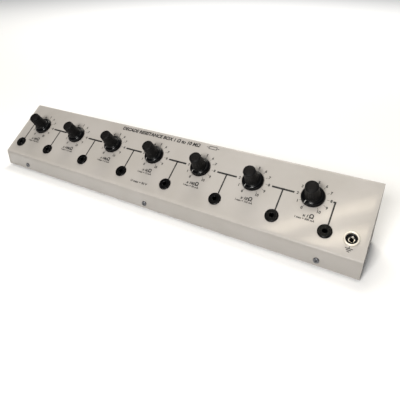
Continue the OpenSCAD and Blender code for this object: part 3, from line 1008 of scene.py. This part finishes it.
def ink_bar(x0, y0, x1, y1, width):
    """A printed line from one panel place to another, with square ends."""
    run = Vector((x1 - x0, y1 - y0, 0))
    side = Vector((-run.y, run.x, 0)).normalized() * width / 2
    ends = [Vector((x0, y0, 0)), Vector((x1, y1, 0))]
    loop = [ends[0] - side, ends[1] - side, ends[1] + side, ends[0] + side]
    low = [print_bm.verts.new(PANEL @ (p - Vector((0, 0, INK_SINK)))) for p in loop]
    top = [print_bm.verts.new(PANEL @ (p + Vector((0, 0, INK_MM)))) for p in loop]
    print_bm.faces.new(low[::-1])
    print_bm.faces.new(top)
    for i in range(4):
        print_bm.faces.new((low[i], low[(i + 1) % 4], top[(i + 1) % 4], top[i]))


def lettering(words, height, x, y, align="CENTER", weight=0.03, slant=0.0, fit_width=None):
    """Prints words with capitals of a height, centred on y, and returns their width."""
    curve = bpy.data.curves.new("letters", "FONT")
    curve.body = words
    curve.size = height / CAP_HEIGHT_SHARE
    curve.align_x = align
    curve.offset = weight * height
    curve.extrude = (INK_MM + INK_SINK) / 2
    curve.shear = slant
    curve.resolution_u = 3
    mesh = evaluated(new_object("letters", curve))
    width = max(v.co.x for v in mesh.vertices) - min(v.co.x for v in mesh.vertices)
    stretch = fit_width / width if fit_width else 1.0
    lift = (INK_MM - INK_SINK) / 2
    mesh.transform(at_panel(x, y - height / 2, lift) @ Matrix.Diagonal((stretch, 1, 1, 1)))
    print_bm.from_mesh(mesh)
    bpy.data.meshes.remove(mesh)
    return width * stretch


print("print helpers ready")

# %% Dials and multipliers
# the screen was laid by hand, so all the print sits a little to the right of the holes
PRINT_SHIFT_X, PRINT_SHIFT_Y = 1.1, 0.4
DIGIT_RADIUS = 15.1
DIGIT_HEIGHT = 2.7
TICK_FROM, TICK_TO, TICK_WIDTH = 11.2, 13.6, 0.3
FACTOR_DROP, FACTOR_HEIGHT = 19.5, 2.8
OHM_DROP, OHM_HEIGHT = 19.0, 4.0
RATING_DROP, RATING_HEIGHT = 22.8, 2.0
RATING_WIDTH = 17.6
multipliers = ["1M", "100k", "10k", "1k", "100", "10", "1"]
ratings = ["0.5 mA", "1.5 mA", "5 mA", "15 mA", "50 mA", "150 mA", "500 mA"]

for body, factor, rating in zip(bodies, multipliers, ratings):
    x = knob_seats[body].x + PRINT_SHIFT_X
    dial_y = knob_row + PRINT_SHIFT_Y
    for position in range(DIAL_POSITIONS):
        a = FIRST_ANGLE - position * DIAL_STEP
        cos_a, sin_a = math.cos(a), math.sin(a)
        lettering(str(position), DIGIT_HEIGHT, x + DIGIT_RADIUS * cos_a,
                  dial_y + DIGIT_RADIUS * sin_a, weight=0.055)
        ink_bar(x + TICK_FROM * cos_a, dial_y + TICK_FROM * sin_a,
                x + TICK_TO * cos_a, dial_y + TICK_TO * sin_a, TICK_WIDTH)
    lettering("x " + factor, FACTOR_HEIGHT, x + 0.6, dial_y - FACTOR_DROP, "RIGHT", 0.07, 0.15)
    lettering("Ω", OHM_HEIGHT, x + 1.2, dial_y - OHM_DROP, "LEFT", 0.06)
    lettering("I max = " + rating, RATING_HEIGHT, x - 2.0, dial_y - RATING_DROP, weight=0.05,
              fit_width=RATING_WIDTH)
print("dials printed:", len(print_bm.verts), "vertices")

# %% Circuit lines, heading and symbols
LINE_WIDTH = 1.6
LINE_HALF = 10.8
STUB = 1.8
socket_top = socket_row + FLANGE_R - 0.5

for x in [place + PRINT_SHIFT_X for place in socket_xs]:
    ink_bar(x, socket_top, x, knob_row + LINE_WIDTH / 2, LINE_WIDTH * 0.9)
for x in [place + PRINT_SHIFT_X for place in socket_xs[1:-1]]:
    ink_bar(x - LINE_HALF, knob_row, x + LINE_HALF, knob_row, LINE_WIDTH * 1.15)
first_line, last_line = socket_xs[0] + PRINT_SHIFT_X, socket_xs[-1] + PRINT_SHIFT_X
ink_bar(first_line, knob_row, first_line + STUB, knob_row, LINE_WIDTH)
ink_bar(last_line - STUB, knob_row, last_line, knob_row, LINE_WIDTH)

HEADING_Y = 69.4
HEADING_START = -69.2
HEADING_END = 35.0
HEADING_HEIGHT = 4.1
heading = "DECADE RESISTANCE BOX 1 Ω to 10 MΩ"
heading_width = lettering(heading, HEADING_HEIGHT, HEADING_START, HEADING_Y, "LEFT", 0.06, 0.12,
                          HEADING_END - HEADING_START)
print(f"heading {heading_width:.1f} mm wide")

# a resistor symbol: a box between two leads
SYMBOL_X, SYMBOL_Y = 50.3, 69.9
BOX_HALF_X, BOX_HALF_Y = 4.4, 1.5
LEAD_END = 7.3
THIN_LINE = 0.6
for side in (-1, 1):
    ink_bar(SYMBOL_X + side * BOX_HALF_X, SYMBOL_Y, SYMBOL_X + side * LEAD_END, SYMBOL_Y, THIN_LINE)
    corner = BOX_HALF_X + 0.25
    y = SYMBOL_Y + side * BOX_HALF_Y
    ink_bar(SYMBOL_X - corner, y, SYMBOL_X + corner, y, THIN_LINE)
    x = SYMBOL_X + side * BOX_HALF_X
    ink_bar(x, SYMBOL_Y - BOX_HALF_Y, x, SYMBOL_Y + BOX_HALF_Y, THIN_LINE)

VOLTAGE_X, VOLTAGE_Y, VOLTAGE_HEIGHT, VOLTAGE_WIDTH = -12.3, 10.2, 2.4, 21.5
lettering("U max = 50 V", VOLTAGE_HEIGHT, VOLTAGE_X, VOLTAGE_Y, weight=0.045,
          fit_width=VOLTAGE_WIDTH)
EARTH_LINE = 0.7
EARTH_BARS = ((8.0, 3.1), (6.6, 2.1), (5.2, 1.0))
ink_bar(earth_x, socket_row - COLLAR_R + 0.4, earth_x, EARTH_BARS[0][0], EARTH_LINE)
for y, half in EARTH_BARS:
    ink_bar(earth_x - half, y, earth_x + half, y, EARTH_LINE)

bmesh.ops.recalc_face_normals(print_bm, faces=print_bm.faces)
print_mesh = bpy.data.meshes.new("panel_print")
print_bm.to_mesh(print_mesh)
print_bm.free()
print_mesh.materials.clear()
make_piece("panel_print", print_mesh, [black_ink], case)
print("print:", len(print_mesh.polygons), "faces")

# %% [markdown]
# ## The parts inside
# The CAD shapes of the inner parts are right as they are: each gets the finish of its real
# material. They only show when the box is taken apart.

# %% Finishes for the CAD parts that stay
inner_finishes = {
    "contact_sleeves": nickel, "socket_nuts": nickel, "switch_nuts": nickel,
    "switch_bushings": brass, "switch_housings": switch_plastic, "switch_wafers": paper_laminate,
    "resistor_boards": lacquered_board, "resistors": resistor_lacquer, "link_wires": wire_sleeve,
}
for number in range(1, len(bodies) + 1):
    inner_finishes[f"collet_{number}"] = brass
    inner_finishes[f"shaft_{number}"] = nickel
    inner_finishes[f"rotor_{number}"] = rotor_nylon
for node, finish in inner_finishes.items():
    mesh = frame["nodes"][node].data
    if mesh.materials:
        for i in range(len(mesh.materials)):
            mesh.materials[i] = finish
    else:
        mesh.materials.append(finish)
print("finished", len(inner_finishes), "CAD nodes")

# %% [markdown]
# ## Floor and light
# The floor is a white paper sheet that sweeps up behind. The box stands in a bright room:
# a soft key beside the viewer lights the front and throws short shadows back, a broad
# light from behind on the left grazes the panel, the ceiling fills, and two long warm panes
# overhead are the window whose reflection lies across the right end of the panel. A wash
# whitens the paper behind. Diffuse rays don't see the paper, because light thrown up from
# it would make the front lip as bright as the panel, and on a bench the lip is darker.

# %% Paper sweep
SWEEP_HALF = 6.0
SWEEP_FRONT = -3.0
SWEEP_BEND = 4.0
SWEEP_RADIUS = 2.5
SWEEP_TOP = 6.0
SWEEP_STEPS = 12


def paper_sweep():
    """A floor that curves up into a wall behind."""
    bm = bmesh.new()
    path = [(SWEEP_FRONT, 0.0), (SWEEP_BEND, 0.0)]
    for i in range(1, SWEEP_STEPS + 1):
        a = math.radians(90 * i / SWEEP_STEPS)
        path.append((SWEEP_BEND + SWEEP_RADIUS * math.sin(a), SWEEP_RADIUS * (1 - math.cos(a))))
    path.append((SWEEP_BEND + SWEEP_RADIUS, SWEEP_TOP))
    rows = [[bm.verts.new((x, y, z)) for x in (-SWEEP_HALF, SWEEP_HALF)] for y, z in path]
    for a, b in zip(rows, rows[1:]):
        bm.faces.new((a[0], a[1], b[1], b[0])).smooth = True
    mesh = bpy.data.meshes.new("paper_sweep")
    bm.to_mesh(mesh)
    bm.free()
    mesh.transform(Matrix.Rotation(VIEW_AZIMUTH, 4, "Z"))
    return new_object("paper_sweep", mesh)


FIBRE_MM = 1.5
paper, paper_tree, paper_shader = new_material("matt white paper", Roughness=0.9)
fibres = add(paper_tree, "ShaderNodeMix", {"data_type": "RGBA"},
             _0=pattern(paper_tree, FIBRE_MM, 3), _6=linear("#fbfbfa"), _7=linear("#f6f6f5"))
fill(paper_tree, paper_shader, {"Base_Color": fibres.outputs[2]})
sweep = paper_sweep()
sweep.data.materials.append(paper)
sweep.visible_diffuse = False
print("paper sweep ready")

# %% Lights


def area_light(name, place, aim, size, power, tint):
    """A soft rectangular light at a place, aimed at a point."""
    lamp = bpy.data.lights.new(name, "AREA")
    lamp.shape = "RECTANGLE"
    lamp.size, lamp.size_y = size
    lamp.energy = power
    lamp.color = linear(tint)[:3]
    holder = new_object(name, lamp)
    holder.location = place
    holder.rotation_euler = (Vector(aim) - Vector(place)).to_track_quat("-Z", "Y").to_euler()
    return holder


area_light("key_beside_viewer", (0.10, -0.80, 0.50), (0.05, 0, 0.02), (0.22, 0.22), 8.8, "#fffdfb")
area_light("skylight_behind_left", (-0.3, 1.1, 1.7), (0, 0, 0), (1.0, 1.0), 17, "#fff8ea")
area_light("ceiling", (0.2, -0.4, 2.4), (0, 0, 0), (2.6, 2.6), 12, "#ffffff")
area_light("backdrop_wash", (-0.6, 1.6, 2.2), (-1.4, 3.4, 0), (2.0, 2.0), 60, "#ffffff")


def window_pane(name, start, end, width, power, tint):
    """A long narrow light overhead, from one place to another, facing down."""
    start, end = Vector(start), Vector(end)
    run = end - start
    pane = area_light(name, (start + end) / 2, (start + end) / 2 - Vector((0, 0, 1)),
                      (run.length, width), power, tint)
    pane.rotation_euler = (0, 0, math.atan2(run.y, run.x))


window_pane("window_upper_pane", (-0.28, -0.488, 1.5), (0.19, -0.204, 1.5), 0.045, 0.62, "#fff1d8")
window_pane("window_lower_pane", (-0.10, -0.50, 1.5), (0.22, -0.325, 1.5), 0.045, 0.5, "#fff1d8")

ROOM_LIGHT = 0.16
world = bpy.data.worlds.new("soft room")
world.use_nodes = True
backdrop = world.node_tree.nodes["Background"]
backdrop.inputs["Color"].default_value = linear("#f7f8fa")
backdrop.inputs["Strength"].default_value = ROOM_LIGHT
scene.world = world
scene.view_settings.view_transform = "Standard"
print("lights ready")

# %% [markdown]
# ## The end
# The last cell only reports that the script has run.

# %% Finish
print("script finished")
